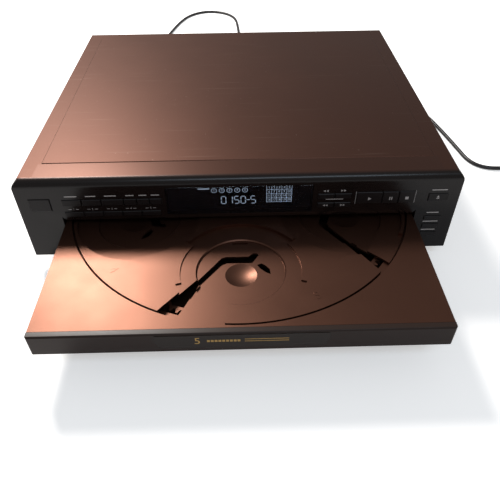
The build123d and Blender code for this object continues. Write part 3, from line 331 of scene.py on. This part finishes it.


# ---- Carousel -----------------------------------------------------------------------------
# The turning table for five discs has the tray's grain and painted warm sheen. Each place's number
# is raised beside it and reads towards the hub, and a black cap covers the screw in the middle.
DISCS = 5
TABLE_MIDDLE_Y = 40.3                       # from the panel's face back to the hub
NUMBER_RADIUS = 157.0                       # from the hub to the middle of each number
NUMBER_TOP = 58.3
disc_figures = []
for number in range(1, DISCS + 1):
    way = radians(-90.0 + 72.0 * number + 24.6)
    x = NUMBER_RADIUS * cos(way)
    y = TABLE_MIDDLE_Y + NUMBER_RADIUS * sin(way)
    disc_figures.append(figure(str(number), x, y, NUMBER_TOP, 8.5, turn=(0, 0, way + pi / 2), thick=0.2))
printed("disc_numbers", disc_figures, painted_sheen_finish, "carousel")
moulded.on("table_cap")


# ---- Case ---------------------------------------------------------------------------------
# A pressed steel cover in satin black enamel, with fine scratches and dust from years of use, black
# screws, rubber feet and a rear panel of the same enamel. The enamel's brown, nearly metallic colour
# is painted warm sheen, which tints the lamps' reflection on it brown.
# painted warm sheen: this brown with high metallic stands for warm light on black enamel
PAINTED_SHEEN_BROWN = shade(76, 49, 39)
enamel = Finish("case_enamel", PAINTED_SHEEN_BROWN, 0.42, 0.85, specular_ior_level=0.3)
enamel_grain = enamel.noise(enamel.place(), 900.0, 4.0)
enamel_cloud = enamel.noise(enamel.place(), 14.0, 3.0)
scratched = 0.0
for turn in (0.25, 1.3, 2.2):
    stroke = enamel.noise(enamel.place(scale=(7, 900, 1), turn=(0, 0, turn)), 1.0, 1.0)
    scratched = stroke.between(0.745, 0.775) * 0.5 + scratched
dust = enamel.noise(enamel.place(), 420.0, 1.0).between(0.77, 0.8)
worn = (scratched * 0.35 + dust * 0.3).clamped()
enamel.put("Base Color", enamel.mix(worn, PAINTED_SHEEN_BROWN, shade(150, 132, 122)))
enamel.put("Roughness", 0.34 + enamel_grain * 0.1 + enamel_cloud * 0.08 + scratched * 0.08)
enamel.bump(enamel_grain, 0.25, 0.0001)
enamel.on("top_cover", "rear_panel")
Finish("black_screw", shade(38, 36, 36), 0.35, 0.6).on("cover_screws")
Finish("foot_rubber", shade(32, 31, 31), 0.75).on("feet")

# The two line sockets are nickel sleeves, one with a white and one with a red insert.
SOCKET_Z = 0.062
SLEEVE_RADIUS = 0.0044
INSERT_RADIUS = 0.0034
SLEEVE_FROM = 0.2502                        # the Y behind which the sleeves stand out of their block
INSERT_FROM = 0.2575                        # the Y behind which the inserts show
BLOCK_BLACK = shade(30, 30, 30)
sockets = Finish("line_sockets", BLOCK_BLACK, 0.4)
x, y, z = sockets.axes()
left = ((x - 0.112) ** 2.0 + (z - SOCKET_Z) ** 2.0) ** 0.5
right = ((x - 0.132) ** 2.0 + (z - SOCKET_Z) ** 2.0) ** 0.5
sleeve = ((left < SLEEVE_RADIUS) + (right < SLEEVE_RADIUS)) * (y > SLEEVE_FROM)
insert = ((left < INSERT_RADIUS) + (right < INSERT_RADIUS)) * (y > INSERT_FROM)
colour = sockets.mix(sleeve, BLOCK_BLACK, shade(190, 188, 180))
colour = sockets.mix(insert * (left < INSERT_RADIUS), colour, shade(225, 222, 214))
colour = sockets.mix(insert * (right < INSERT_RADIUS), colour, shade(150, 26, 24))
sockets.put("Base Color", colour)
sockets.put("Metallic", sleeve * (1.0 - insert))
sockets.on("output_jacks")


# ---- Front panel --------------------------------------------------------------------------
# A black ABS moulding with a glossy rounded top edge. Its tongue runs back over the cover, is
# scratched, and carries the cover's painted warm sheen, brown and nearly metallic.
PANEL_BLACK = shade(22, 16, 15)
TONGUE_Z = 0.1075                           # the tongue is what lies over this, behind the edge
panel_gloss = Finish("panel_gloss", PANEL_BLACK, 0.24, specular_ior_level=0.3)
y, z = panel_gloss.axes()[1:]
tongue = y.between(PANEL_FACE + 0.004, PANEL_FACE + 0.009) * (z > TONGUE_Z)
along = panel_gloss.place(scale=(6, 800, 1), turn=(0, 0, 0.5))
stroke = panel_gloss.noise(along, 1.0, 1.0).between(0.74, 0.77)
# painted warm sheen on the tongue: the cover's brown, metallic, with the scratches through it
brown = (tongue * (0.92 + stroke * 0.08)).clamped()
panel_gloss.put("Base Color", panel_gloss.mix(brown, PANEL_BLACK, PAINTED_SHEEN_BROWN))
panel_gloss.put("Metallic", tongue * 0.8)
panel_grain = panel_gloss.noise(panel_gloss.place(), 1100.0)
panel_gloss.put("Roughness", 0.22 + panel_grain * 0.06 + tongue * 0.1 + stroke * tongue * 0.15)
panel_gloss.on(broken_edges("front_panel", "cabinet", 0.0005))

# Pale grey marks are printed on it by the keys: plain dashes and lines, arrows and the discs'
# numbers.
PRINT_Y = -0.04
LOW = 15.0                                  # what the feet lift the panel by
legends = []
for x, z, width in ((-189, 73.5, 9), (-192.5, 65.5, 11), (-162, 77, 12), (-143, 77, 10), (-124, 77, 11.5),
                    (-105.5, 77, 8), (-93, 77, 7.5), (-81, 77, 8), (92.5, 67.5, 17), (194, 76, 15),
                    (193, 48, 12), (193, 36.5, 15), (193, 25.5, 14), (-34.5, 80.9, 0.1)):
    legends.append(bar(x, PRINT_Y, z + LOW, width, 1.1))
NUMBER_Z = 61.4 + LOW
for number, x in enumerate((-162, -143.7, -124.8, -106.2, -87), start=1):
    legends.append(figure(str(number), x, PRINT_Y, NUMBER_Z, 2.1))
    legends += [bar(x + aside, PRINT_Y, NUMBER_Z, 3.0, 0.5) for aside in (-3.6, 3.6)]
ARROW_Z = 77.5 + LOW
for x, turn in ((82.4, -pi / 2), (85.2, -pi / 2), (98.8, pi / 2), (101.6, pi / 2)):
    legends.append(arrow(x, PRINT_Y, ARROW_Z, 1.5, turn))
for x in (113.1, 171.3):
    legends.append(bar(x, PRINT_Y, 68.5 + LOW, 0.35, 15))
PALE_GREY = shade(176, 170, 168)
printed("panel_marks", legends, Finish("pale_print", PALE_GREY, 0.5), "cabinet")


# ---- Display ------------------------------------------------------------------------------
# A smoked acrylic window covers a fluorescent tube. Lit on it are a four-figure time with the
# disc's number, a dash, five ringed figures and a calendar of twenty, all blue-white.
smoked = Finish("smoked_window", shade(16, 18, 24), 0.08, alpha=0.5)
smoked.on("display_window")
Finish("tube_glass", shade(14, 16, 20), 0.15).on("display_tube")
TUBE_Y = 4.05
SUNK = LOW - 3.1                            # marks on the tube sit 3.1 mm lower than they look
TIME_Z = 69.0
SIGN_SEGMENTS = {"0": "abcdef", "1": "bc", "5": "afgcd", "-": "g"}
# Each segment's place beside and over the middle of its figure, then its width and height.
SEGMENTS = {"a": (0.0, 4.4, 3.2, 0.8), "b": (2.2, 2.2, 0.8, 3.4), "c": (2.2, -2.2, 0.8, 3.4),
            "d": (0.0, -4.4, 3.2, 0.8), "e": (-2.2, -2.2, 0.8, 3.4), "f": (-2.2, 2.2, 0.8, 3.4),
            "g": (0.0, 0.0, 3.2, 0.8)}
lit = []
for place, sign in zip((-15.6, -9.2, -2.8, 3.6, 8.6, 13.4), "0150-5"):
    for segment in SIGN_SEGMENTS[sign]:
        beside, over, width, height = SEGMENTS[segment]
        lit.append(bar(place + beside, TUBE_Y, TIME_Z + over + SUNK, width, height))
RING_Z = 81 + SUNK
for number in range(DISCS):
    x = -24.5 + 7.5 * number
    bpy.ops.mesh.primitive_torus_add(major_radius=0.0025, minor_radius=0.00025,
                                     major_segments=24, minor_segments=4,
                                     location=row_place(x, TUBE_Y - 0.3, RING_Z), rotation=(pi / 2, 0, 0))
    lit += [bpy.context.object, figure(str(number + 1), x, TUBE_Y, RING_Z, 2.4)]
ROW_PITCH = 5.0
for row in range(4):
    for column in range(5):
        track = str(row * 5 + column + 1)
        lit.append(figure(track, 28.9 + 4.9 * column, TUBE_Y, 83.2 - ROW_PITCH * row + SUNK, 2.6))
lit += [bar(38.7, TUBE_Y, 85.7 - ROW_PITCH * row + SUNK, 24.4, 0.4) for row in range(5)]
lit += [bar(26.5 + 4.88 * column, TUBE_Y, 75.7 + SUNK, 0.4, 20.2) for column in range(6)]
lit.append(bar(-34.5, TUBE_Y, 83 + SUNK, 11.0, 1.2))
glow = Finish("fluorescent_glow", shade(190, 210, 235), 0.5,
              emission_color=shade(196, 214, 240), emission_strength=1.7)
printed("lit_segments", lit, glow, "cabinet")


# ---- Keys ---------------------------------------------------------------------------------
# Black moulded caps with a fine matt grain. The player's signs are printed on their own caps.
key_matt = Finish("key_matt", shade(24, 19, 19), 0.42, specular_ior_level=0.25)
key_matt.put("Roughness", 0.38 + key_matt.noise(key_matt.place(), 1500.0) * 0.12)
key_matt.on(*[name for name in nodes if name.endswith("_key") or name.startswith("disc_key")])
CAP_Y = -0.93                               # the caps stand this far in front of the panel
SIGN_Z = 67.5 + LOW
SEARCH_Z = 60.6 + LOW


def key_sign(key, *marks):
    printed(key + "_sign", marks, Finish(key + "_print", PALE_GREY, 0.5), key + "_key")


key_sign("play", arrow(126.3, CAP_Y, SIGN_Z, 2.2, pi / 2))
key_sign("pause", bar(146.4, CAP_Y, SIGN_Z, 0.9, 3.6), bar(148.4, CAP_Y, SIGN_Z, 0.9, 3.6))
key_sign("stop", bar(163.2, CAP_Y, SIGN_Z, 3.2, 3.2))
key_sign("open_close", arrow(193.8, CAP_Y, 68.2 + LOW, 1.7, 0), bar(193.8, CAP_Y, 66.2 + LOW, 3.0, 0.7))
key_sign("search_back", *[arrow(x, CAP_Y, SEARCH_Z, 1.4, -pi / 2) for x in (82.9, 85.5)])
key_sign("search_forward", *[arrow(x, CAP_Y, SEARCH_Z, 1.4, pi / 2) for x in (99.4, 102.0)])


# ---- Mains lead ---------------------------------------------------------------------------
# A 5 mm two-core PVC lead, 1.83 m long. It leaves the back at the left, makes the loop that shows
# over the case, comes round to the right and ends in a neat coil with its plug on it.
LEAD = 0.005
FLOOR_Z = 2.5                               # the lead's middle where it lies on the floor
POINT_RADIUS = 0.001                        # the lead's radius is the curve's bevel times this
LEAD_ROUTE = [
    (-165.0, 392.6, 45.0), (-165.0, 414.0, 45.0), (-164.5, 438.0, 34.0), (-163.5, 460.0, 14.0),
    (-162.0, 490.0, 2.6), (-156.0, 545.0, 2.5), (-146.0, 600.0, 2.5), (-133.0, 655.0, 2.5),
    (-119.0, 712.0, 2.5), (-100.0, 757.0, 2.5), (-64.0, 780.0, 2.5), (-24.0, 768.0, 2.5),
    (-1.0, 733.0, 2.5), (3.0, 675.0, 2.5), (6.0, 612.0, 2.5), (24.0, 552.0, 2.5),
    (62.0, 502.0, 2.5), (112.0, 462.0, 2.5), (168.0, 436.0, 2.5), (222.0, 408.0, 2.5),
    (262.0, 362.0, 2.5), (284.0, 308.0, 2.5), (295.0, 255.0, 2.5), (302.0, 210.0, 2.5),
    (306.5, 178.0, 2.5), (322.0, 161.5, 2.5), (350.0, 160.0, 2.5), (376.0, 160.0, 2.5),
]
COIL_X, COIL_Y = 381.0, 160.0
COIL_RADII = (28.0, 25.2, 22.4, 19.6, 22.4, 25.2, 28.0)
COIL_LAYER = 5.6
PLUG_TURN = 16.0
HALF_TURN_POINTS = 10


def lead_points():
    """The route's control points in millimetres, then those of the coil's half turns."""
    points = list(LEAD_ROUTE)
    y, way, z = COIL_Y, -1, FLOOR_Z
    step = pi / HALF_TURN_POINTS
    grow = 2 / (1 + cos(step / 2))          # a spline runs a little inside its control points
    for number, radius in enumerate(COIL_RADII):
        climb = COIL_LAYER if number == len(COIL_RADII) // 2 else 0.0
        for i in range(HALF_TURN_POINTS):
            turn = (i + 0.5) * step
            points.append((COIL_X - way * radius * grow * sin(turn),
                           y + way * radius * (1 - grow * cos(turn)),
                           z + climb * (i + 0.5) / HALF_TURN_POINTS))
        y, way, z = y + 2 * radius * way, -way, z + climb
    for turn in (pi / 8, 3 * pi / 8):
        points.append((COIL_X - PLUG_TURN * sin(turn), y - PLUG_TURN * (1 - cos(turn)), z))
    end = (COIL_X - PLUG_TURN, y - PLUG_TURN)
    return points + [(end[0], end[1] - 1.0, z), (end[0], end[1] - 5.0, z)]


lead_curve = bpy.data.curves.new("power_lead", "CURVE")
lead_curve.dimensions = "3D"
lead_curve.bevel_depth = LEAD / 2 / POINT_RADIUS
lead_curve.bevel_resolution = 5
lead_curve.resolution_u = 10
lead_curve.use_fill_caps = True
lead_spline = lead_curve.splines.new("NURBS")
lead_line = [row_place(*p) for p in lead_points()]
lead_spline.points.add(len(lead_line) - 1)
for control, place in zip(lead_spline.points, lead_line):
    control.co = (*place, 1.0)
    control.radius = POINT_RADIUS
lead_spline.order_u = 3
lead_spline.use_endpoint_u = True
lead = bpy.data.objects.new("power_lead", lead_curve)
bpy.context.scene.collection.objects.link(lead)
lead_middle = bpy.data.objects.new("lead_middle", lead_curve.copy())
lead_middle.data.bevel_depth = 0.0
lead_path = [tuple(point.co) for point in bpy.data.meshes.new_from_object(lead_middle).vertices]
bpy.data.objects.remove(lead_middle)
nothing_selected()
lead.select_set(True)
bpy.context.view_layer.objects.active = lead
bpy.ops.object.convert(target="MESH")
bpy.ops.object.shade_smooth()
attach(lead, "cabinet")
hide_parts("power_cord", "cord_coil")

pvc = Finish("cord_pvc", shade(28, 26, 28), 0.42)
pvc_grain = pvc.noise(pvc.place(), 900.0, 2.0)
pvc.put("Roughness", 0.36 + pvc_grain * 0.16)
pvc.bump(pvc_grain, 0.25, 0.0002)
pvc.on(lead, "plug", "cord_bushing")


# ---- Studio -------------------------------------------------------------------------------
# A white floor and white surroundings. A lamp behind on the left gives the sheen that runs over
# case and tray, and a cool strip in front lights the panel. Only the camera sees the floor glow.
floor_finish = Finish("floor_white", shade(246, 246, 246), 0.9)
bpy.ops.mesh.primitive_plane_add(size=12.0, location=(0, 0, 0))
floor = bpy.context.object
floor.name = "floor"
camera_sees = floor_finish.node("ShaderNodeLightPath", {}, {})["Is Camera Ray"]
floor_finish.put("Emission Color", floor_finish.mix(camera_sees, (0, 0, 0, 1), (1, 1, 1, 1)))
floor_finish.put("Emission Strength", 0.45)
floor.data.materials.append(floor_finish.material)

world = bpy.data.worlds.new("studio")
bpy.context.scene.world = world
world.use_nodes = True
world.node_tree.nodes["Background"].inputs["Color"].default_value = (1.0, 1.0, 1.0, 1.0)
world.node_tree.nodes["Background"].inputs["Strength"].default_value = 0.3


def soft_lamp(name, place, aim, width, height, watts, colour):
    lamp = bpy.data.objects.new(name, bpy.data.lights.new(name, "AREA"))
    bpy.context.scene.collection.objects.link(lamp)
    lamp.data.shape = "RECTANGLE"
    lamp.data.size, lamp.data.size_y = width, height
    lamp.data.energy = watts
    lamp.data.color = colour
    lamp.location = place
    lamp.rotation_euler = (Vector(aim) - Vector(place)).to_track_quat("-Z", "Y").to_euler()


soft_lamp("sheen_lamp", (-0.72, 1.15, 1.45), (-0.05, -0.1, 0.05), 0.45, 0.45, 44.0, (1.0, 0.95, 0.9))
soft_lamp("window_lamp", (0.25, -1.3, 1.9), (0, 0, 0.05), 1.2, 0.35, 9.0, (0.72, 0.86, 1.0))

bpy.context.scene.view_settings.view_transform = "Standard"
